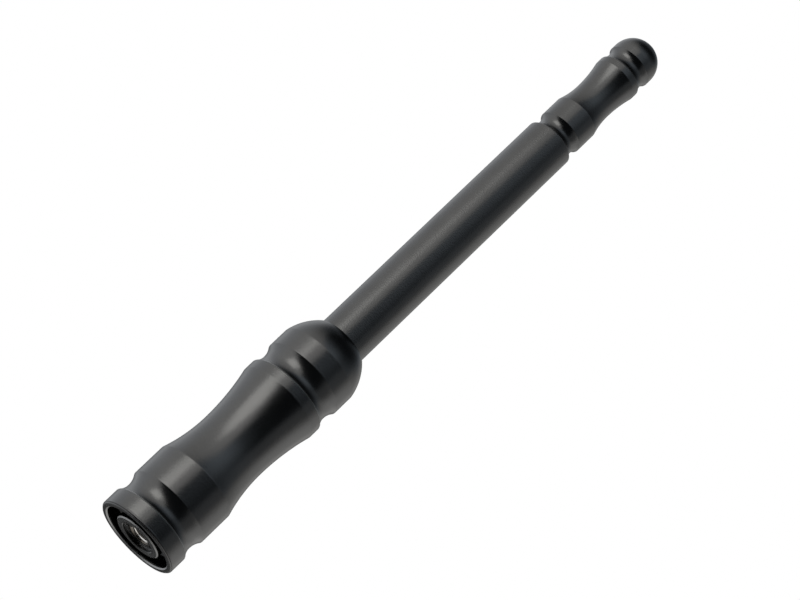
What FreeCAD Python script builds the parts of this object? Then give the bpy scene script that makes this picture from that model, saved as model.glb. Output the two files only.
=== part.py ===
import FreeCAD, Part
import math
import os
import Sketcher

# Short turned vehicle antenna: a hollow-footed base, a plain rod and a ball tip, all turned from bar,
# with a tapped insert in the foot that screws onto the vehicle's stud.
# The foot ring stands on the plane z = 0 and the axis of every piece is +Z.

SIZES = {
    # The base, from the foot upward.
    "base_radius": 12.1,
    "ferrule_height": 5.4,
    "groove_width": 6.25,
    "groove_depth": 1.1,
    "groove_fall": 2.7,
    "barrel_height": 9.6,
    "waist_length": 30.5,
    "waist_dip": 1.98,
    "waist_fall": 13.6,
    "collar_height": 3.3,
    "band_height": 5.8,
    "dome_height": 8.25,
    "dome_curve": 15.7,
    "mouth_land": 0.8,
    "edge_break": 0.25,
    # The hollow foot.
    "foot_bevel": 0.45,
    "rim_width": 1.8,
    "recess_depth": 4.2,
    "recess_corner": 0.4,
    "rim_bevel": 0.35,
    "boss_radius": 7.1,
    "boss_setback": 0.2,
    "boss_bevel": 0.35,
    "counterbore_ledge": 0.8,
    "counterbore_depth": 1.0,
    "counterbore_bevel": 0.2,
    # The tapped insert.
    "insert_radius": 4.2,
    "insert_length": 10.0,
    "thread_bore_radius": 2.5,
    "mouth_bevel": 0.6,
    "relief_step": 0.8,
    "relief_length": 3.0,
    # The rod.
    "rod_radius": 7.15,
    "rod_length": 84.75,
    "socket_depth": 18.0,
    "rod_bore_depth": 13.0,
    # The tip.
    "tip_radius": 6.85,
    "spigot_radius": 4.0,
    "spigot_length": 12.0,
    "spigot_bevel": 0.5,
    "neck_width": 4.5,
    "neck_depth": 1.0,
    "neck_fall": 2.3,
    "tip_barrel_height": 6.6,
    "tip_waist_length": 16.5,
    "tip_waist_dip": 1.02,
    "tip_waist_fall": 7.2,
    "tip_collar_height": 2.3,
    "ball_groove_width": 4.1,
    "ball_groove_depth": 0.8,
    "ball_groove_fall": 2.2,
    "ball_straight": 1.75,
    # Radial play of the seats that hold one piece in another.
    "seat_play": 0.03,
}

# Heights above the foot plane, each one the sum of the lengths below it.
GROOVE_ONE = "Sizes.ferrule_height"
BARREL = f"{GROOVE_ONE} + Sizes.groove_width"
WAIST = f"{BARREL} + Sizes.barrel_height"
COLLAR = f"{WAIST} + Sizes.waist_length"
GROOVE_TWO = f"{COLLAR} + Sizes.collar_height"
BAND = f"{GROOVE_TWO} + Sizes.groove_width"
DOME = f"{BAND} + Sizes.band_height"
DOME_TOP = f"{DOME} + Sizes.dome_height"
ROD_FOOT = f"{DOME_TOP} - Sizes.socket_depth"
ROD_TOP = f"{DOME_TOP} + Sizes.rod_length"
BOSS_FACE = "Sizes.boss_setback"
INSERT_FACE = f"{BOSS_FACE} + Sizes.counterbore_depth"
INSERT_TOP = f"{INSERT_FACE} + Sizes.insert_length"
SOCKET_RADIUS = "Sizes.rod_radius + Sizes.seat_play"
RECESS_RADIUS = "Sizes.base_radius - Sizes.rim_width"
COUNTERBORE_RADIUS = "Sizes.insert_radius + Sizes.counterbore_ledge"

# Heights along the tip, above the end face of the rod.
TIP_BARREL = "Sizes.neck_width"
TIP_WAIST = f"{TIP_BARREL} + Sizes.tip_barrel_height"
TIP_COLLAR = f"{TIP_WAIST} + Sizes.tip_waist_length"
BALL_GROOVE = f"{TIP_COLLAR} + Sizes.tip_collar_height"
BALL = f"{BALL_GROOVE} + Sizes.ball_groove_width"
BALL_CENTRE = f"{BALL} + Sizes.ball_straight"

# How far a cutting profile reaches past the surface that it cuts.
OVERCUT = 1.0


doc = FreeCAD.newDocument("antenna")
sheet = doc.addObject("Spreadsheet::Sheet", "Sizes")
for row, (name, value) in enumerate(SIZES.items(), start=1):
    sheet.set(f"A{row}", name)
    sheet.set(f"B{row}", str(value))
    sheet.setAlias(f"B{row}", name)
doc.recompute()


def size(expression):
    """Value of an expression on the sheet, in millimetres."""
    value = sheet.evalExpression(expression)
    return float(getattr(value, "Value", value))


def new_body(name, height="0"):
    """An empty piece whose own origin stands at the given height on the axis."""
    body = doc.addObject("PartDesign::Body", name)
    body.Label = name
    body.setExpression("Placement.Base.z", height)
    return body


def arc_through(start, end, radius, side):
    """The short arc between two points; side is +1 when it bulges to the left of start-end, else -1."""
    chord = end - start
    middle = (start + end) * 0.5
    left = FreeCAD.Vector(-chord.y, chord.x, 0).normalize()
    drop = math.sqrt(max(radius ** 2 - chord.Length ** 2 / 4, 0))
    crown = middle + left * side * (radius - drop)
    return Part.Arc(start, crown, end)


def half_section(body, name, corners, curves=None):
    """A closed half section on the piece's XZ plane.

    corners holds (radius, height) expressions in order round the outline.
    curves gives, for the side that starts at a corner, its arc's radius and the way it bulges.
    """
    curves = curves or {}
    plane = next(item for item in body.Origin.OriginFeatures if item.Role == "XZ_Plane")
    sketch = body.newObject("Sketcher::SketchObject", name)
    sketch.AttachmentSupport = [(plane, "")]
    sketch.MapMode = "FlatFace"
    places = [FreeCAD.Vector(size(radius), size(height), 0) for radius, height in corners]
    count = len(corners)
    starts = []
    for index, start in enumerate(places):
        end = places[(index + 1) % count]
        if index in curves:
            radius, side = curves[index]
            arc = arc_through(start, end, size(radius), side)
            sketch.addGeometry(arc)
            # A sketch keeps every arc counter-clockwise, so one that bulges left is stored end first.
            starts.append((1, 2) if side < 0 else (2, 1))
        else:
            sketch.addGeometry(Part.LineSegment(start, end))
            starts.append((1, 2))
    for index in range(count):
        after = (index + 1) % count
        sketch.addConstraint(
            Sketcher.Constraint("Coincident", index, starts[index][1], after, starts[after][0]))
    for index, (radius, height) in enumerate(corners):
        point = starts[index][0]
        bind(sketch, f"r_{index}", Sketcher.Constraint("DistanceX", -1, 1, index, point, places[index].x), radius)
        bind(sketch, f"z_{index}", Sketcher.Constraint("DistanceY", -1, 1, index, point, places[index].y), height)
    for index, (radius, side) in curves.items():
        bind(sketch, f"curve_{index}", Sketcher.Constraint("Radius", index, size(radius)), radius)
    return sketch


def bind(sketch, name, constraint, expression):
    """Adds a named dimension to a sketch and ties it to the sheet."""
    number = sketch.addConstraint(constraint)
    sketch.renameConstraint(number, name)
    sketch.setExpression(f"Constraints.{name}", expression)


def turn(body, name, corners, curves=None, cut=False):
    """Turns a half section round the piece's axis, as material or as a cut."""
    sketch = half_section(body, f"{name}_section", corners, curves)
    kind = "PartDesign::Groove" if cut else "PartDesign::Revolution"
    before = body.Shape.Volume if cut else 0.0
    feature = body.newObject(kind, name)
    feature.Profile = sketch
    feature.ReferenceAxis = (sketch, ["V_Axis"])
    feature.Angle = 360
    doc.recompute()
    if cut and body.Shape.Volume >= before:
        raise RuntimeError(f"{name} removes nothing")
    return feature


def ring_edges(feature, rings):
    """Names of the circular edges of a feature that have the given (radius, height) expressions."""
    names = []
    for radius, height in rings:
        for number, edge in enumerate(feature.Shape.Edges, start=1):
            if not isinstance(edge.Curve, Part.Circle):
                continue
            same_radius = abs(edge.Curve.Radius - size(radius)) < 1e-4
            if same_radius and abs(edge.Curve.Center.z - size(height)) < 1e-4:
                names.append(f"Edge{number}")
                break
        else:
            raise RuntimeError(f"no edge at radius {radius} and height {height}")
    return names


def bevel_rings(body, name, feature, rings, width):
    """Cuts an even bevel on the given circular edges."""
    chamfer = body.newObject("PartDesign::Chamfer", name)
    chamfer.Base = (feature, ring_edges(feature, rings))
    chamfer.setExpression("Size", width)
    doc.recompute()
    return chamfer


def hollow_curve(depth, run):
    """Radius of the arc that sinks by a depth over a run along the axis and ends parallel to the axis."""
    return f"({run}^2 + {depth}^2) / (2 * {depth})"


def cove(body, name, outer, foot, width, depth, fall, lower_band=True):
    """Cuts the groove that parts two bands: a hollow that falls steeply and rises slowly to a crisp lip.

    outer is the radius of the bands, foot the height at which the groove starts, width its whole width and
    fall the distance from its foot to its deepest ring. The edge of a band below it is broken.
    """
    lip = f"{foot} + {width}"
    clear = f"{outer} + {OVERCUT}"
    if lower_band:
        edge = f"{foot} - Sizes.edge_break"
        corners = [(clear, edge), (outer, edge), (f"{outer} - Sizes.edge_break", foot)]
        drop = f"({depth} - Sizes.edge_break)"
    else:
        corners = [(clear, foot), (outer, foot)]
        drop = depth
    falling = len(corners) - 1
    corners += [(f"{outer} - {depth}", f"{foot} + {fall}"), (outer, lip), (clear, lip)]
    return turn(body, name, corners, {
        falling: (hollow_curve(drop, fall), 1),
        falling + 1: (hollow_curve(depth, f"({width} - {fall})"), 1),
    }, cut=True)


def base():
    """The hollow-footed base: ferrule, barrel, long waist, collar, band and dome from one bar."""
    body = new_body("base")
    outer = "Sizes.base_radius"
    corners = [
        ("0", "0"),
        (outer, "0"),
        (outer, WAIST),
        (f"{outer} - Sizes.waist_dip", f"{WAIST} + Sizes.waist_fall"),
        (outer, COLLAR),
        (outer, DOME),
        (f"{SOCKET_RADIUS} + Sizes.mouth_land", DOME_TOP),
        ("0", DOME_TOP),
    ]
    turn(body, "bar", corners, {
        2: (hollow_curve("Sizes.waist_dip", "Sizes.waist_fall"), 1),
        3: (hollow_curve("Sizes.waist_dip", "(Sizes.waist_length - Sizes.waist_fall)"), 1),
        5: ("Sizes.dome_curve", -1),
    })
    for name, foot in (("lower_groove", GROOVE_ONE), ("upper_groove", GROOVE_TWO)):
        cove(body, name, outer, foot, "Sizes.groove_width", "Sizes.groove_depth", "Sizes.groove_fall")
    # The socket that holds the rod, open at the top of the dome.
    turn(body, "rod_socket", [
        ("0", ROD_FOOT),
        (SOCKET_RADIUS, ROD_FOOT),
        (SOCKET_RADIUS, f"{DOME_TOP} + {OVERCUT}"),
        ("0", f"{DOME_TOP} + {OVERCUT}"),
    ], cut=True)
    # The ring-shaped recess between the foot ring and the boss.
    turn(body, "foot_recess", [
        ("Sizes.boss_radius", f"-{OVERCUT}"),
        (RECESS_RADIUS, f"-{OVERCUT}"),
        (RECESS_RADIUS, "Sizes.recess_depth"),
        ("Sizes.boss_radius", "Sizes.recess_depth"),
    ], cut=True)
    # The boss is faced back, counterbored and bored for the insert, with a relief for the end of the stud.
    insert_bore = "Sizes.insert_radius + Sizes.seat_play"
    relief_radius = "Sizes.thread_bore_radius + Sizes.relief_step"
    relief_end = f"{INSERT_TOP} + Sizes.relief_length"
    bored = turn(body, "boss_bore", [
        ("0", f"-{OVERCUT}"),
        ("Sizes.boss_radius + Sizes.seat_play", f"-{OVERCUT}"),
        ("Sizes.boss_radius + Sizes.seat_play", BOSS_FACE),
        (COUNTERBORE_RADIUS, BOSS_FACE),
        (COUNTERBORE_RADIUS, INSERT_FACE),
        (insert_bore, INSERT_FACE),
        (insert_bore, INSERT_TOP),
        (relief_radius, INSERT_TOP),
        (relief_radius, relief_end),
        ("0", f"{relief_end} + ({relief_radius}) / 2"),
    ], cut=True)
    corner = bevel_rings(body, "foot_edge", bored, [(outer, "0")], "Sizes.foot_bevel")
    floor = bevel_rings(body, "recess_floor", corner, [
        (RECESS_RADIUS, "Sizes.recess_depth"),
        ("Sizes.boss_radius", "Sizes.recess_depth"),
    ], "Sizes.recess_corner")
    rim = bevel_rings(body, "rim_edge", floor, [(RECESS_RADIUS, "0")], "Sizes.rim_bevel")
    boss = bevel_rings(body, "boss_edge", rim, [("Sizes.boss_radius", BOSS_FACE)], "Sizes.boss_bevel")
    bevel_rings(body, "counterbore_edge", boss, [(COUNTERBORE_RADIUS, BOSS_FACE)],
                "Sizes.counterbore_bevel")
    return body


def threaded_insert():
    """The bare metal bush in the boss, bored to the crests of its thread, with a bevelled mouth at its foot."""
    body = new_body("threaded_insert", INSERT_FACE)
    bore = "Sizes.thread_bore_radius"
    mouth = f"{bore} + Sizes.mouth_bevel"
    turn(body, "bush", [
        (mouth, "0"),
        ("Sizes.insert_radius", "0"),
        ("Sizes.insert_radius", "Sizes.insert_length"),
        (bore, "Sizes.insert_length"),
        (bore, "Sizes.mouth_bevel"),
    ])
    return body


def rod():
    """The plain rod, sunk in the base's socket and bored at its top end for the tip's spigot."""
    body = new_body("rod", ROD_FOOT)
    rod_end = "Sizes.socket_depth + Sizes.rod_length"
    bar = turn(body, "bar", [
        ("0", "0"),
        ("Sizes.rod_radius", "0"),
        ("Sizes.rod_radius", rod_end),
        ("0", rod_end),
    ])
    edges = bevel_rings(body, "rod_edges", bar, [("Sizes.rod_radius", rod_end)], "Sizes.edge_break")
    bevel_rings(body, "rod_lead", edges, [("Sizes.rod_radius", "0")], "Sizes.spigot_bevel")
    bore = "Sizes.spigot_radius + Sizes.seat_play"
    bore_floor = f"{rod_end} - Sizes.rod_bore_depth"
    turn(body, "spigot_bore", [
        ("0", f"{bore_floor} - Sizes.spigot_radius / 2"),
        (bore, bore_floor),
        (bore, f"{rod_end} + {OVERCUT}"),
        ("0", f"{rod_end} + {OVERCUT}"),
    ], cut=True)
    return body


def tip():
    """The tip with its spigot, neck, barrel, waist, collar and ball end, turned from one bar."""
    body = new_body("tip", ROD_TOP)
    outer = "Sizes.tip_radius"
    corners = [
        ("0", "-Sizes.spigot_length"),
        ("Sizes.spigot_radius", "-Sizes.spigot_length"),
        ("Sizes.spigot_radius", "0"),
        (outer, "0"),
        (outer, TIP_WAIST),
        (f"{outer} - Sizes.tip_waist_dip", f"{TIP_WAIST} + Sizes.tip_waist_fall"),
        (outer, TIP_COLLAR),
        (outer, BALL_CENTRE),
        ("0", f"{BALL_CENTRE} + {outer}"),
    ]
    turn(body, "bar", corners, {
        4: (hollow_curve("Sizes.tip_waist_dip", "Sizes.tip_waist_fall"), 1),
        5: (hollow_curve("Sizes.tip_waist_dip", "(Sizes.tip_waist_length - Sizes.tip_waist_fall)"), 1),
        7: (outer, -1),
    })
    cove(body, "neck", outer, "0", "Sizes.neck_width", "Sizes.neck_depth", "Sizes.neck_fall", lower_band=False)
    grooved = cove(body, "ball_groove", outer, BALL_GROOVE, "Sizes.ball_groove_width",
                   "Sizes.ball_groove_depth", "Sizes.ball_groove_fall")
    bevel_rings(body, "spigot_lead", grooved, [("Sizes.spigot_radius", "-Sizes.spigot_length")],
                "Sizes.spigot_bevel")
    return body


pieces = [base(), threaded_insert(), rod(), tip()]
doc.recompute()

for item in doc.Objects:
    if "Invalid" in item.State or "Error" in item.State:
        raise RuntimeError(f"{item.Label} failed: {item.State}")
for piece in pieces:
    shape = piece.Shape
    if shape.isNull() or not shape.isValid() or len(shape.Solids) != 1:
        raise RuntimeError(f"{piece.Label} has no single valid solid")

os.makedirs("parts", exist_ok=True)
for piece in pieces:
    piece.Shape.exportStep(f"parts/{piece.Label}.step")
    box = piece.Shape.optimalBoundingBox(False)
    print(f"{piece.Label}: {piece.Shape.Volume:.1f} mm3, z {box.ZMin:.2f} to {box.ZMax:.2f}, "
          f"x {box.XMin:.2f} to {box.XMax:.2f}")
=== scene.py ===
import math

import bpy
import numpy as np
from mathutils import Matrix, Quaternion, Vector


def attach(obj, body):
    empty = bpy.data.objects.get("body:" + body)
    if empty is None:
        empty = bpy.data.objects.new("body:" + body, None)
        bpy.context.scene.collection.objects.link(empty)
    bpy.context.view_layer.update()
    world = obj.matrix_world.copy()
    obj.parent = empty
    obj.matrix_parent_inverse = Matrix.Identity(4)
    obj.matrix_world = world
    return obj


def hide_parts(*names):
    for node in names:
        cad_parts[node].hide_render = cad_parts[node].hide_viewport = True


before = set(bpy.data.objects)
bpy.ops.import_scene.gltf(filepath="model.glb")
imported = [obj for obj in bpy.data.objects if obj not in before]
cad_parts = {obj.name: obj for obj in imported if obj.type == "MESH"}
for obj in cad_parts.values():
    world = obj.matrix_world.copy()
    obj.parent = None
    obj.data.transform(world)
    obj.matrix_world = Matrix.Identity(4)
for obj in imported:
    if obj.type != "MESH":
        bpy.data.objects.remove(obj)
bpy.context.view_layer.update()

# Short turned vehicle antenna in black anodised aluminium, with a tapped bare steel insert in its foot.
# The foot ring stands on z = 0 and the axis of every piece is +Z. Lengths are in millimetres, and become
# metres in the meshes and materials. The studio's distances are metres.

# Sizes

MM = 0.001

BASE_RADIUS = 12.1
FERRULE_TOP = 5.4
BARREL_FOOT = 11.65
BARREL_TOP = 21.25
COLLAR_FOOT = 51.75
COLLAR_TOP = 55.05
BAND_FOOT = 61.3
BAND_TOP = 67.1
DOME_TOP = 75.35
DOME_CURVE = 15.7
MOUTH_LAND = 0.8
WAIST_DIP, WAIST_FALL = 1.98, 13.6
GROOVE_DEPTH, GROOVE_FALL = 1.1, 2.7
EDGE_BREAK = 0.25

RECESS_RADIUS, RECESS_DEPTH, RECESS_CORNER = 10.3, 4.2, 0.4
FOOT_BEVEL, RIM_BEVEL = 0.45, 0.35
BOSS_RADIUS, BOSS_FACE, BOSS_BEVEL = 7.1, 0.2, 0.35
COUNTERBORE_RADIUS, COUNTERBORE_FLOOR, COUNTERBORE_BEVEL = 5.0, 1.2, 0.2
SEAT_PLAY = 0.03

INSERT_RADIUS, INSERT_TOP, INSERT_BREAK = 4.2, 11.2, 0.15
THREAD_CREST, THREAD_ROOT, THREAD_PITCH = 2.5, 3.0, 1.0
# Where the thread starts round the axis, as a share of a turn.
THREAD_START = 0.33
MOUTH_RADIUS = 3.1
RELIEF_RADIUS, RELIEF_TOP = 3.3, 14.2

ROD_RADIUS, ROD_FOOT, ROD_TOP = 7.15, 57.35, 160.1
SPIGOT_RADIUS, SPIGOT_FOOT, SPIGOT_BORE_FLOOR, SPIGOT_BEVEL = 4.0, 148.1, 147.1, 0.5

TIP_RADIUS = 6.85
TIP_BARREL_FOOT = 164.6
TIP_BARREL_TOP = 171.2
TIP_COLLAR_FOOT = 187.7
TIP_COLLAR_TOP = 190.0
BALL_FOOT = 194.1
BALL_CENTRE = 195.85
TIP_WAIST_DIP, TIP_WAIST_FALL = 1.02, 7.2
NECK_DEPTH, NECK_FALL = 1.0, 2.3
BALL_GROOVE_DEPTH, BALL_GROOVE_FALL = 0.8, 2.2

# Sides of a turned ring. Along a half section, the longest step on a curve and on a straight side, the
# widest angle of a step in a rounding, and the distance of a guard point from the end of an arc.
SIDES = 192
CURVE_STEP, STRAIGHT_STEP = 0.4, 4.0
ROUNDING_STEP = 0.2
GUARD = 0.04


# Half sections

def bow_centre(start, end, radius, side):
    """Centre of the short arc from start to end: on the chord's middle normal, away from the bulge."""
    chord = end - start
    left = np.array([-chord[1], chord[0]]) / np.linalg.norm(chord)
    return (start + end) / 2 - side * left * math.sqrt(radius ** 2 - chord @ chord / 4)


def unit(vector):
    """The vector's way, as a vector of length 1."""
    return vector / np.linalg.norm(vector)


def turn_between(first, second):
    """Angle from one vector to another, positive anticlockwise."""
    return math.atan2(first[0] * second[1] - first[1] * second[0], first @ second)


def swept(vector, angles):
    """The vector turned by each angle a, a row each: (x cos a - y sin a, x sin a + y cos a)."""
    return np.stack([vector[0] * np.cos(angles) - vector[1] * np.sin(angles),
                     vector[0] * np.sin(angles) + vector[1] * np.cos(angles)], axis=1)


def half_section(corners, bows=None):
    """Half section as a line of (radius, height) points.

    corners holds (radius, height, rounding). bows gives, for the side that starts at a corner, its arc's
    radius and side, +1 when it bulges to the left. A rounding is an arc that touches both sides of its
    corner. Guard points close to every arc's ends keep smooth shading inside it.
    """
    bows = bows or {}
    places = [np.array(corner[:2], float) for corner in corners]
    last = len(places) - 1
    centres = {}
    leaving, arriving = {}, {}
    for index in range(last):
        start, end = places[index], places[index + 1]
        if index in bows:
            radius, side = bows[index]
            centre = bow_centre(start, end, radius, side)
            centres[index] = centre
            # The tangent is the radius turned a quarter, clockwise for an arc that bulges left.
            turn = -side
            leaving[index] = turn * np.array([-(start - centre)[1], (start - centre)[0]]) / radius
            arriving[index + 1] = turn * np.array([-(end - centre)[1], (end - centre)[0]]) / radius
        else:
            leaving[index] = arriving[index + 1] = unit(end - start)
    line = []
    for index, place in enumerate(places):
        rounding = corners[index][2] if 0 < index < last else 0
        if rounding:
            come = arriving[index]
            sweep = turn_between(come, leaving[index])
            cut = rounding * math.tan(abs(sweep) / 2)
            count = max(3, math.ceil(abs(sweep) / ROUNDING_STEP))
            inward = math.copysign(1, sweep) * np.array([-come[1], come[0]])
            centre = place - cut * come + rounding * inward
            line.append(centre + swept(-rounding * inward, np.linspace(0, sweep, count + 1)))
        else:
            cut = 0.0
            line.append(place[None])
        if index == last:
            break
        line.append(side_points(places, corners, index, cut, bows, centres, arriving, leaving, last))
    return np.concatenate(line)


def side_points(places, corners, index, cut, bows, centres, arriving, leaving, last):
    """Points between two corners, clear of their roundings: guards at the ends, and steps along a curve."""
    start, end = places[index], places[index + 1]
    following = 0.0
    if index + 1 < last and corners[index + 1][2]:
        sweep = turn_between(arriving[index + 1], leaving[index + 1])
        following = corners[index + 1][2] * math.tan(abs(sweep) / 2)
    if index in bows:
        radius = bows[index][0]
        first = start - centres[index]
        angle = turn_between(first, end - centres[index])
        length = abs(angle) * radius
    else:
        length = float(np.linalg.norm(end - start))
    low, high = cut + GUARD, length - following - GUARD
    if high - low < GUARD:
        return np.empty((0, 2))
    if index in bows:
        count = max(2, math.ceil((high - low) / CURVE_STEP))
        return centres[index] + swept(first, np.linspace(low, high, count + 1) / length * angle)
    count = max(1, math.ceil((high - low) / STRAIGHT_STEP))
    along = np.linspace(low, high, count + 1)[:, None]
    return start + unit(end - start) * along


def hollow_curve(depth, run):
    """Radius of the arc that sinks by depth d over run l and ends parallel to the axis: (l^2 + d^2) / 2 d."""
    return (run ** 2 + depth ** 2) / (2 * depth)


class Outline:
    """The corners of a half section and the arcs between them, in the order in which they are added."""

    def __init__(self):
        self.corners = []
        self.bows = {}

    def to(self, *corners):
        """Goes on straight to each corner, given as radius, height and rounding."""
        self.corners += corners

    def bow(self, radius, side):
        """Makes the side from the last corner to the next one an arc."""
        self.bows[len(self.corners) - 1] = (radius, side)

    def hollow(self, outer, start_depth, depth, foot, fall, lip, rounding):
        """Goes on from a corner near the outer radius down to the deepest ring and up to the next lip."""
        self.bow(hollow_curve(depth - start_depth, fall), 1)
        self.to((outer - depth, foot + fall, 0))
        self.bow(hollow_curve(depth, lip - foot - fall), 1)
        self.to((outer, lip, rounding))

    def cove(self, outer, depth, foot, fall, lip):
        """The groove between two bands: broken edge, steep fall, deepest ring, slow rise to a crisp lip."""
        self.to((outer, foot - EDGE_BREAK, 0.5), (outer - EDGE_BREAK, foot, 0.3))
        self.hollow(outer, EDGE_BREAK, depth, foot, fall, lip, 0.07)

    def points(self):
        """The finished half section."""
        return half_section(self.corners, self.bows)


def base_line():
    """Half section of the base, from the top of the hole in its foot to the floor of its rod socket."""
    bore = INSERT_RADIUS + SEAT_PLAY
    socket = ROD_RADIUS + SEAT_PLAY
    line = Outline()
    line.to(
        (0, RELIEF_TOP + RELIEF_RADIUS / 2, 0),
        (RELIEF_RADIUS, RELIEF_TOP, 0.1),
        (RELIEF_RADIUS, INSERT_TOP, 0),
        (bore, INSERT_TOP, 0),
        (bore, COUNTERBORE_FLOOR, 0.04),
        (COUNTERBORE_RADIUS, COUNTERBORE_FLOOR, 0.1),
        (COUNTERBORE_RADIUS, BOSS_FACE + COUNTERBORE_BEVEL, 0.1),
        (COUNTERBORE_RADIUS + COUNTERBORE_BEVEL, BOSS_FACE, 0.1),
        (BOSS_RADIUS - BOSS_BEVEL, BOSS_FACE, 0.2),
        (BOSS_RADIUS, BOSS_FACE + BOSS_BEVEL, 0.2),
        (BOSS_RADIUS, RECESS_DEPTH - RECESS_CORNER, 0.3),
        (BOSS_RADIUS + RECESS_CORNER, RECESS_DEPTH, 0.3),
        (RECESS_RADIUS - RECESS_CORNER, RECESS_DEPTH, 0.3),
        (RECESS_RADIUS, RECESS_DEPTH - RECESS_CORNER, 0.3),
        (RECESS_RADIUS, RIM_BEVEL, 0.15),
        (RECESS_RADIUS + RIM_BEVEL, 0, 0.12),
        (BASE_RADIUS - FOOT_BEVEL, 0, 0.3),
        (BASE_RADIUS, FOOT_BEVEL, 0.4),
    )
    line.cove(BASE_RADIUS, GROOVE_DEPTH, FERRULE_TOP, GROOVE_FALL, BARREL_FOOT)
    line.to((BASE_RADIUS, BARREL_TOP, 1.0))
    line.hollow(BASE_RADIUS, 0, WAIST_DIP, BARREL_TOP, WAIST_FALL, COLLAR_FOOT, 1.0)
    line.cove(BASE_RADIUS, GROOVE_DEPTH, COLLAR_TOP, GROOVE_FALL, BAND_FOOT)
    line.to((BASE_RADIUS, BAND_TOP, 1.5))
    line.bow(DOME_CURVE, -1)
    line.to(
        (socket + MOUTH_LAND, DOME_TOP, 0.25),
        (socket, DOME_TOP, 0.05),
        (socket, ROD_FOOT, 0),
        (0, ROD_FOOT, 0),
    )
    return line.points()


def rod_line():
    """Half section of the rod, from the centre of its sunk end up to the bore for the tip's spigot."""
    bore = SPIGOT_RADIUS + SEAT_PLAY
    return half_section([
        (0, ROD_FOOT, 0),
        (ROD_RADIUS - SPIGOT_BEVEL, ROD_FOOT, 0.1),
        (ROD_RADIUS, ROD_FOOT + SPIGOT_BEVEL, 0.1),
        (ROD_RADIUS, ROD_TOP - EDGE_BREAK, 0.22),
        (ROD_RADIUS - EDGE_BREAK, ROD_TOP, 0.22),
        (bore, ROD_TOP, 0.05),
        (bore, SPIGOT_BORE_FLOOR, 0.05),
        (0, SPIGOT_BORE_FLOOR - SPIGOT_RADIUS / 2, 0),
    ])


def tip_line():
    """Half section of the tip, from the end of its spigot over neck, barrel, waist, collar and ball."""
    line = Outline()
    line.to(
        (0, SPIGOT_FOOT, 0),
        (SPIGOT_RADIUS - SPIGOT_BEVEL, SPIGOT_FOOT, 0.1),
        (SPIGOT_RADIUS, SPIGOT_FOOT + SPIGOT_BEVEL, 0.1),
        (SPIGOT_RADIUS, ROD_TOP, 0.05),
        (TIP_RADIUS, ROD_TOP, 0.1),
    )
    line.hollow(TIP_RADIUS, 0, NECK_DEPTH, ROD_TOP, NECK_FALL, TIP_BARREL_FOOT, 0.07)
    line.to((TIP_RADIUS, TIP_BARREL_TOP, 0.8))
    line.hollow(TIP_RADIUS, 0, TIP_WAIST_DIP, TIP_BARREL_TOP, TIP_WAIST_FALL, TIP_COLLAR_FOOT, 0.8)
    line.cove(TIP_RADIUS, BALL_GROOVE_DEPTH, TIP_COLLAR_TOP, BALL_GROOVE_FALL, BALL_FOOT)
    line.to((TIP_RADIUS, BALL_CENTRE, 0))
    line.bow(TIP_RADIUS, -1)
    line.to((0, BALL_CENTRE + TIP_RADIUS, 0))
    return line.points()


# Meshes

def piece(name, points, faces, *nodes):
    """A smooth shaded mesh object from points in millimetres, which stands for the given solids."""
    mesh = bpy.data.meshes.new(name)
    mesh.from_pydata((points * MM).tolist(), [], faces)
    mesh.polygons.foreach_set("use_smooth", np.ones(len(mesh.polygons), bool))
    mesh.update()
    made = bpy.data.objects.new(name, mesh)
    bpy.context.scene.collection.objects.link(made)
    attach(made, "root")
    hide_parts(*nodes)
    return made


def turned(name, line, node):
    """Turns a half section round the axis: a point (r, z) at angle t lies at (r cos t, r sin t, z).

    The first and last points of the line lie on the axis, and each is one vertex.
    """
    radius, height = line[1:-1].T
    angle = np.arange(SIDES) * 2 * np.pi / SIDES
    rings = np.stack([np.outer(radius, np.cos(angle)),
                      np.outer(radius, np.sin(angle)),
                      np.repeat(height[:, None], SIDES, axis=1)], axis=2)
    poles = np.array([[0, 0, line[0, 1]], [0, 0, line[-1, 1]]])
    points = np.concatenate([rings.reshape(-1, 3), poles])
    row = np.arange(len(radius) - 1)[:, None] * SIDES
    here = np.arange(SIDES)[None]
    there = (here + 1) % SIDES
    quads = np.stack([row + here, row + there, row + SIDES + there, row + SIDES + here], axis=2)
    first, second = len(points) - 2, len(points) - 1
    top = (len(radius) - 1) * SIDES
    start_fan = np.stack([np.full(SIDES, first), there[0], here[0]], axis=1)
    end_fan = np.stack([top + here[0], top + there[0], np.full(SIDES, second)], axis=1)
    faces = quads.reshape(-1, 4).tolist() + start_fan.tolist() + end_fan.tolist()
    return piece(name, points, faces, node)


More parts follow.
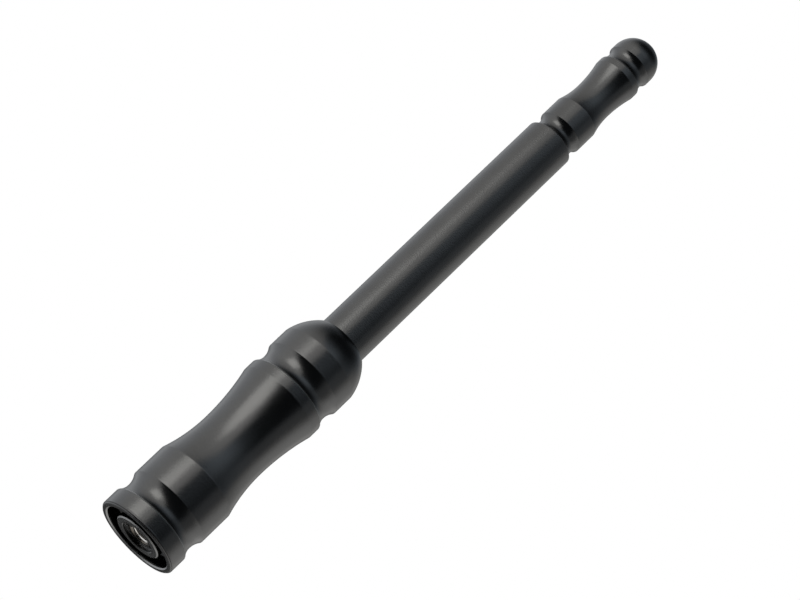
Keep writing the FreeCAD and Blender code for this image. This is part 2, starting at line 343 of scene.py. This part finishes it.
def tapped(name, node):
    """The insert: a bush whose bore is a right-hand thread.

    A point of the thread is given by its angle t and its distance w along the axis from the helix, so it
    lies at height w + pitch t / 2 pi, and its radius depends on w alone: a flat crest a quarter of the
    pitch wide, a straight flank, a flat root an eighth of the pitch wide and the second flank. Bevels at
    both ends cut the thread back. The rows that run past an end stop there, and the end faces join them to
    the outer wall.
    """
    sides, per_pitch = 144, 28
    turns = math.ceil((INSERT_TOP - COUNTERBORE_FLOOR) / THREAD_PITCH) + 1
    angle = np.arange(sides + 1) * 2 * np.pi / sides
    climb = THREAD_PITCH * angle / (2 * np.pi)
    drift = np.arange(turns * per_pitch + 1) / per_pitch * THREAD_PITCH - THREAD_PITCH
    low = -climb
    high = INSERT_TOP - COUNTERBORE_FLOOR - climb
    along = np.clip(drift[:, None], low[None], high[None])
    phase = (along / THREAD_PITCH + THREAD_START) % 1.0
    rise = np.interp(phase, [0, 0.125, 0.4375, 0.5625, 0.875, 1], [0, 0, 1, 1, 0, 0])
    radius = THREAD_CREST + (THREAD_ROOT - THREAD_CREST) * rise
    height = COUNTERBORE_FLOOR + climb[None] + along
    mouth = MOUTH_RADIUS - (height - COUNTERBORE_FLOOR)
    exit_bevel = MOUTH_RADIUS - (INSERT_TOP - height)
    radius = np.maximum(radius, np.maximum(mouth, exit_bevel))
    bore = np.stack([radius * np.cos(angle), radius * np.sin(angle), height], axis=2)
    end = INSERT_RADIUS - INSERT_BREAK
    rim = np.array([end, INSERT_RADIUS, INSERT_RADIUS, end])
    level = np.array([COUNTERBORE_FLOOR, COUNTERBORE_FLOOR + INSERT_BREAK,
                      INSERT_TOP - INSERT_BREAK, INSERT_TOP])
    wall = np.stack([np.outer(rim, np.cos(angle)), np.outer(rim, np.sin(angle)),
                     np.repeat(level[:, None], sides + 1, axis=1)], axis=2)
    # The loop of rows runs up the outer wall and down the bore, and closes on itself.
    rows = np.concatenate([wall, bore[::-1]])
    count = len(rows)
    points = rows.reshape(-1, 3)
    row = np.arange(count)[:, None] * (sides + 1)
    following = (np.arange(count)[:, None] + 1) % count * (sides + 1)
    here = np.arange(sides)[None]
    quads = np.stack([row + here, row + here + 1, following + here + 1, following + here], axis=2)
    made = piece(name, points, quads.reshape(-1, 4).tolist(), node)
    weld = made.modifiers.new("weld", "WELD")
    weld.merge_threshold = 1e-7
    return made


base = turned("turned_base", base_line(), "base")
insert = tapped("tapped_insert", "threaded_insert")
rod = turned("plain_rod", rod_line(), "rod")
tip = turned("turned_tip", tip_line(), "tip")


# Materials

# Zones of the foot, by the heights and radii over which their limits fade: faces with coarser tool rings,
# edges painted lighter for highlight lines and partly as rubbed wear, and the recess and the insert's end
# face painted dark as shade.
FACE_TOP = (0.9, 0.6)
WEAR_AND_HIGHLIGHT_INSIDE, WEAR_AND_HIGHLIGHT_OUTSIDE = (5.8, 6.4), (11.3, 11.1)
RECESS_SHADE_FOOT, RECESS_SHADE_TOP = (0.8, 1.6), (4.8, 4.3)
RECESS_SHADE_INSIDE, RECESS_SHADE_OUTSIDE = (6.6, 7.1), (11.2, 10.4)
SHADED_FACE_TOP = (1.8, 1.4)

# Share of the distance from the axis in the way of the turning tool, and the depth of a full step of relief.
FACE_SHARE = 0.83
RELIEF = 0.02


class Channel:
    """A node's output in arithmetic: each operator adds one Math node."""

    def __init__(self, graph, socket):
        self.graph = graph
        self.socket = socket

    def _math(self, operation, first, second):
        return self.graph.add("ShaderNodeMath", {"operation": operation}, {0: first, 1: second})

    def __add__(self, other):
        return self._math("ADD", self, other)

    def __radd__(self, other):
        return self._math("ADD", other, self)

    def __sub__(self, other):
        return self._math("SUBTRACT", self, other)

    def __rsub__(self, other):
        return self._math("SUBTRACT", other, self)

    def __mul__(self, other):
        return self._math("MULTIPLY", self, other)

    def __rmul__(self, other):
        return self._math("MULTIPLY", other, self)


class Graph:
    """A node tree that is filled by one method."""

    def __init__(self, tree):
        tree.nodes.clear()
        self.tree = tree

    def add(self, kind, settings=None, values=None, output=0):
        """Adds a node of a type, makes its settings first, then sets or links its sockets."""
        node = self.tree.nodes.new(kind)
        for key, value in (settings or {}).items():
            setattr(node, key, value)
        for key, value in (values or {}).items():
            if isinstance(value, Channel):
                self.tree.links.new(value.socket, node.inputs[key])
            else:
                node.inputs[key].default_value = value
        if not node.outputs:
            return None
        return Channel(self, node.outputs[output])

    def noise(self, place, scale, detail=2.0, roughness=0.5):
        """Soft noise in space, round 0.5."""
        return self.add("ShaderNodeTexNoise", {},
                        {"Vector": place, "Scale": scale, "Detail": detail, "Roughness": roughness})

    def mix(self, share, first, second):
        """Colour between two, by a share from 0 to 1."""
        return self.add("ShaderNodeMix", {"data_type": "RGBA"},
                        {"Factor": share, 6: first, 7: second}, output=2)

    def fade(self, length, limit):
        """1 inside a limit and 0 outside it.

        The limit is the pair of millimetres over which it fades, the outer one first.
        """
        return self.smooth(length, limit[0] * MM, limit[1] * MM)

    def smooth(self, value, low, high, start=0.0, end=1.0):
        """Smooth step of a value between two limits."""
        return self.add("ShaderNodeMapRange", {"interpolation_type": "SMOOTHSTEP"},
                        {"Value": value, "From Min": low, "From Max": high,
                         "To Min": start, "To Max": end})


def colour(level, blue=1.0):
    """A grey of the given level, or a bluish one where blue is over 1."""
    return (level, level, level * blue, 1.0)


def surface(name):
    """A material, its graph and the place on the piece in object coordinates."""
    material = bpy.data.materials.new(name)
    material.use_nodes = True
    graph = Graph(material.node_tree)
    place = graph.add("ShaderNodeTexCoord", output="Object")
    return material, graph, place


def travel(graph, place):
    """Height z, distance from the axis r = |(x, y)|, and way of the turning tool, z plus a share of r.

    What depends on this way is the same all the way round, on walls and on faces.
    """
    split = graph.add("ShaderNodeSeparateXYZ", {}, {0: place})
    height = Channel(graph, split.socket.node.outputs["Z"])
    flat = graph.add("ShaderNodeVectorMath", {"operation": "MULTIPLY"}, {0: place, 1: (1.0, 1.0, 0.0)})
    distance = graph.add("ShaderNodeVectorMath", {"operation": "LENGTH"}, {0: flat}, output="Value")
    return height, distance, height + distance * FACE_SHARE


def tool_lines(graph, way, pitch, detail=3.0):
    """Fine rings left by the turning tool, as noise on its way. The pitch is in millimetres."""
    return graph.add("ShaderNodeTexNoise", {"noise_dimensions": "1D"},
                     {"W": way, "Scale": 1.0 / (pitch * MM), "Detail": detail, "Roughness": 0.6})


def edge_wear_and_highlight(graph, height, distance, faced, edges):
    """Where the edges are painted lighter, for their highlight lines and partly as rubbed wear, from 0 to 1.

    These are the bevels of the boss and of the ring's inner edge in the foot, and the broken edges below the
    given heights.
    """
    normal = graph.add("ShaderNodeNewGeometry", output="True Normal")
    slope = graph.add("ShaderNodeSeparateXYZ", {}, {0: normal}).socket.node.outputs["Z"]
    slope = graph.add("ShaderNodeMath", {"operation": "ABSOLUTE"}, {0: Channel(graph, slope)})
    wear_and_highlight = faced * graph.smooth(slope, 0.35, 0.6) * graph.smooth(slope, 0.92, 0.8)
    wear_and_highlight = wear_and_highlight * graph.fade(distance, WEAR_AND_HIGHLIGHT_INSIDE) * graph.fade(distance, WEAR_AND_HIGHLIGHT_OUTSIDE)
    for edge in edges:
        middle = (edge - EDGE_BREAK / 2) * MM
        away = graph.add("ShaderNodeMath", {"operation": "ABSOLUTE"}, {0: height - middle})
        wear_and_highlight = wear_and_highlight + graph.fade(away, (0.2, 0.1))
    return wear_and_highlight


def anodised(name, level, roughness, ring_strength, grain_size, grain_strength, edges):
    """Black anodised aluminium: a dark metal of softly varying polish, with turning rings and a fine grain.

    The faces of the foot show coarser rings, dark and light, because the tool crossed them faster. The
    recess between them is painted near black, as shade. Edges are painted lighter for their highlight lines,
    partly as rubbed wear, and are duller.
    """
    material, graph, place = surface(name)
    height, distance, way = travel(graph, place)
    clouds = graph.noise(place, 160.0, 3.0)
    grain = graph.noise(place, 1.0 / (grain_size * MM), 2.0, 0.6)
    rings = tool_lines(graph, way, 0.22)
    faced = graph.fade(height, FACE_TOP)
    marks = tool_lines(graph, way, 0.3, 1.0)
    wear_and_highlight = edge_wear_and_highlight(graph, height, distance, faced, edges)
    tone = graph.mix(clouds * 0.4 + grain * 0.6, colour(level * 0.75), colour(level * 1.25, 1.02))
    tone = graph.mix(graph.smooth(marks, 0.46, 0.56) * faced * 0.85, tone, colour(level * 0.1))
    # Painted shade: the recess between the boss and the rim is toned near black.
    sunk = graph.fade(height, RECESS_SHADE_FOOT) * graph.fade(height, RECESS_SHADE_TOP)
    sunk = sunk * graph.fade(distance, RECESS_SHADE_OUTSIDE) * graph.fade(distance, RECESS_SHADE_INSIDE)
    tone = graph.mix(sunk * 0.85, tone, colour(level * 0.1))
    # Painted highlight lines, partly rubbed wear: the bevels and broken edges are toned lighter.
    tone = graph.mix(wear_and_highlight, tone, colour(level * 2.8))
    polish = roughness + (clouds - 0.5) * 0.06 + (grain - 0.5) * 0.08 + wear_and_highlight * 0.2
    relief = rings * ring_strength + grain * grain_strength
    relief = relief + (marks * 2.0 + tool_lines(graph, way, 0.15, 2.0) * 2.5) * faced
    normal = graph.add("ShaderNodeBump", {}, {"Strength": 1.0, "Distance": RELIEF * MM, "Height": relief})
    shader = graph.add("ShaderNodeBsdfPrincipled", {},
                       {"Base Color": tone, "Metallic": 1.0, "Roughness": polish, "Normal": normal})
    graph.add("ShaderNodeOutputMaterial", {}, {"Surface": shader})
    return material


def bare_metal(name):
    """Machined steel of the tapped insert: bright turns with rings from the tap and small duller patches.

    Its end face in the foot is painted dark, as shade in the counterbore.
    """
    material, graph, place = surface(name)
    height, _, way = travel(graph, place)
    patches = graph.noise(place, 900.0, 3.0)
    rings = tool_lines(graph, way, 0.12)
    tone = graph.mix(patches, (0.48, 0.45, 0.42, 1.0), (0.88, 0.86, 0.83, 1.0))
    # Painted shade: the insert's end face at the counterbore floor is toned dark brown.
    shaded_face = graph.fade(height, SHADED_FACE_TOP)
    tone = graph.mix(shaded_face, tone, (0.12, 0.105, 0.09, 1.0))
    polish = 0.13 + patches * 0.14
    normal = graph.add("ShaderNodeBump", {}, {"Strength": 0.6, "Distance": RELIEF / 2 * MM, "Height": rings})
    shader = graph.add("ShaderNodeBsdfPrincipled", {},
                       {"Base Color": tone, "Metallic": 1.0, "Roughness": polish, "Normal": normal})
    graph.add("ShaderNodeOutputMaterial", {}, {"Surface": shader})
    return material


satin_black = anodised("satin_black", level=0.10, roughness=0.22, ring_strength=0.5, grain_size=0.35,
                       grain_strength=1.1, edges=(FERRULE_TOP, COLLAR_TOP, TIP_COLLAR_TOP))
grained_black = anodised("grained_black", level=0.10, roughness=0.27, ring_strength=0.2, grain_size=0.4,
                         grain_strength=1.7, edges=(ROD_TOP,))
bare_steel = bare_metal("bare_steel")

for made, material, slot in ((base, satin_black, "satin_black"), (insert, bare_steel, "bare_steel"),
                             (rod, grained_black, "grained_black"), (tip, satin_black, "satin_black")):
    made.data.materials.append(material)


# Studio

def heading(turn, rise):
    """Unit vector turned by an angle from the front, -Y, towards +X, and raised above the horizon.

    With turn t and rise r it is (sin t cos r, -cos t cos r, sin r).
    """
    turn, rise = math.radians(turn), math.radians(rise)
    return Vector((math.sin(turn) * math.cos(rise), -math.cos(turn) * math.cos(rise), math.sin(rise)))


def studio_world():
    """The surroundings, by turn from the front and rise above the horizon, both in degrees.

    White walls stand to the left and the right and fade towards the ceiling, more so on the right. Behind
    the object is a gap between them. The front is a dark room, with a faint glow above the horizon.
    """
    world = bpy.data.worlds.new("studio")
    world.use_nodes = True
    bpy.context.scene.world = world
    graph = Graph(world.node_tree)
    way = graph.add("ShaderNodeTexCoord", output="Generated")
    parts = graph.add("ShaderNodeSeparateXYZ", {}, {0: way}).socket.node.outputs
    east, north, up = (Channel(graph, parts[axis]) for axis in "XYZ")
    turn = graph.add("ShaderNodeMath", {"operation": "ARCTAN2"}, {0: east, 1: 0 - north}) * math.degrees(1)
    rise = graph.add("ShaderNodeMath", {"operation": "ARCSINE"}, {0: up}) * math.degrees(1)
    side = graph.add("ShaderNodeMath", {"operation": "ABSOLUTE"}, {0: turn})
    # The left wall's edge draws back from the front below the horizon and towards the ceiling.
    below = graph.add("ShaderNodeMath", {"operation": "MAXIMUM"}, {0: 10 - rise, 1: 0.0})
    above = graph.add("ShaderNodeMath", {"operation": "MAXIMUM"}, {0: rise - 34, 1: 0.0})
    left = graph.smooth(turn + below * 1.1 + above * 1.8, -4.0, -21.0)
    left = left * graph.smooth(rise, 10.0, 74.0, 1.0, 0.06)
    right_reach = graph.smooth(turn, 42.0, 56.0) * 0.2 + graph.smooth(turn, 72.0, 106.0) * 0.75
    right = right_reach * graph.smooth(rise, 4.0, 60.0, 1.0, 0.02)
    # Above the horizon both walls are dimmer towards the back, the right one sooner.
    over = graph.smooth(rise, 2.0, 12.0)
    left = left * (1 - over * graph.smooth(side, 132.0, 158.0) * 0.35)
    right = right * (1 - over * graph.smooth(turn, 112.0, 134.0) * 0.22)
    glow = graph.smooth(rise, 13.0, 31.0) * graph.smooth(rise, 38.0, 66.0, 1.0, 0.0)
    glow = glow * graph.smooth(turn, 0.0, 55.0, 0.48, 0.13) * (1 - left)
    # Straight behind the object there is a gap between the walls, darker still below the table's edge, and a
    # dim ceiling over it.
    behind = graph.smooth(side, 140.0, 172.0, 1.0, 0.2)
    table = graph.smooth(side, 150.0, 175.0) * graph.smooth(rise, -2.0, -12.0) * 0.5
    walls = left + right
    ceiling = graph.smooth(side, 100.0, 150.0) * graph.smooth(rise, 20.0, 50.0) * 0.12
    shade = walls * behind * (1 - table) + ceiling + glow + 0.02
    # The dark front is faintly blue, and so is the wall at the far left.
    wall_tint = graph.mix(graph.smooth(turn, -75.0, -115.0),
                          (1.0, 0.995, 0.965, 1.0), (0.97, 1.0, 1.03, 1.0))
    tint = graph.mix(graph.smooth(walls, 0.0, 0.3), (0.86, 0.98, 1.08, 1.0), wall_tint)
    seen = graph.add("ShaderNodeLightPath", output="Is Camera Ray")
    level = seen + (1 - seen) * shade
    shown = graph.mix(seen, tint, (1.0, 1.0, 1.0, 1.0))
    background = graph.add("ShaderNodeBackground", {}, {"Color": shown, "Strength": level})
    graph.add("ShaderNodeOutputWorld", {}, {"Surface": background})


def soft_box(name, turn, rise, distance, aim, wide, high, roll, level):
    """A rectangular soft box of the given angular size from a point on the axis, hidden from the camera.

    Its power is pi times its area times the level, which gives its face that level, where 1 is a white wall.
    """
    data = bpy.data.lights.new(name, "AREA")
    data.shape = "RECTANGLE"
    data.size = 2 * distance * math.tan(math.radians(wide) / 2)
    data.size_y = 2 * distance * math.tan(math.radians(high) / 2)
    data.energy = level * math.pi * data.size * data.size_y
    data.color = (1.0, 0.99, 0.93)
    lamp = bpy.data.objects.new(name, data)
    way = heading(turn, rise)
    lamp.location = Vector((0, 0, aim)) + way * distance
    lamp.rotation_mode = "QUATERNION"
    facing = (-way).to_track_quat("-Z", "Y")
    lamp.rotation_quaternion = facing @ Quaternion((0, 0, 1), math.radians(roll))
    lamp.visible_camera = False
    bpy.context.scene.collection.objects.link(lamp)


def pale_floor():
    """The floor shows from above only, with the object's shadow on it.

    Seen from below it isn't there, and it holds no light back from the foot.
    """
    half, level = 3.0, -0.0003
    mesh = bpy.data.meshes.new("floor")
    corners = [(-half, -half, level), (half, -half, level), (half, half, level), (-half, half, level)]
    mesh.from_pydata(corners, [], [(0, 1, 2, 3)])
    floor = bpy.data.objects.new("floor", mesh)
    bpy.context.scene.collection.objects.link(floor)
    material, graph, place = surface("pale_floor")
    mottle = graph.noise(place, 3.0, 2.0)
    tone = graph.mix(mottle, colour(0.86), colour(0.90))
    paper = graph.add("ShaderNodeBsdfDiffuse", {}, {"Color": tone, "Roughness": 1.0})
    clear = graph.add("ShaderNodeBsdfTransparent")
    seen = graph.add("ShaderNodeLightPath", output="Is Camera Ray")
    under = graph.add("ShaderNodeNewGeometry", output="Backfacing")
    shown = graph.add("ShaderNodeMixShader", {}, {0: seen * (1.0 - under), 1: clear, 2: paper})
    graph.add("ShaderNodeOutputMaterial", {}, {"Surface": shown})
    mesh.materials.append(material)


def photo_camera():
    """The camera of the photograph, from where it sees the foot's centre and the way the axis runs."""
    # Both are in the camera's frame: x to the right, y up and z backwards.
    foot = Vector((-65.779, -59.423, -711.056)) * MM
    axis = Vector((0.66391, 0.63776, -0.39050)).normalized()
    to_camera = -foot
    front = (to_camera - axis * to_camera.dot(axis)).normalized()
    across = (-front).cross(axis)
    turn = Matrix((across, -front, axis))
    data = bpy.data.cameras.new("camera")
    data.sensor_width = 36.0
    data.lens = 128.376
    data.clip_start = 0.01
    camera = bpy.data.objects.new("camera", data)
    camera.matrix_world = Matrix.Translation(turn @ to_camera) @ turn.to_4x4()
    bpy.context.scene.collection.objects.link(camera)
    bpy.context.scene.camera = camera


studio_world()
soft_box("soft_box", turn=-47, rise=5, distance=2.0, aim=0.08, wide=32, high=32, roll=28, level=1.4)
pale_floor()
photo_camera()
bpy.context.scene.view_settings.view_transform = "Standard"
